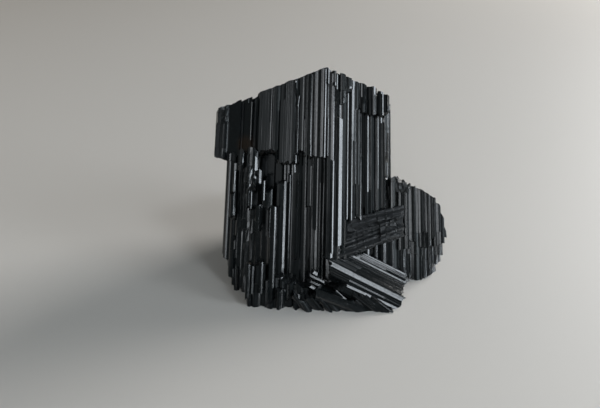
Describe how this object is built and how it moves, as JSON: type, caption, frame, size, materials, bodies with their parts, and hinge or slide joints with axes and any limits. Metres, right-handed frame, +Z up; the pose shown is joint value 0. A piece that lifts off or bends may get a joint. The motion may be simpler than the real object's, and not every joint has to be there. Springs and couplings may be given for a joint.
{
  "type": "tourmaline crystal",
  "caption": "Free-standing black tourmaline: a leaning sheaf of striated prisms grown together, with a side lobe and crystals across its foot, cut flat underneath",
  "frame": {"origin": "centre of the bounding box on the ground, under the specimen", "axes": "+Z up, +X to the right as seen from the front, -Y towards the viewer; the long axis of the sheaf leans back towards +Y by 30 degrees"},
  "size_m": [0.0632, 0.0564, 0.0517],
  "materials": {
    "schorl": "glassy black crystal faces with fine lengthwise striations and duller broken ends"
  },
  "bodies": {
    "root": {"tourmaline_crystal": "schorl"}
  },
  "joints": []
}
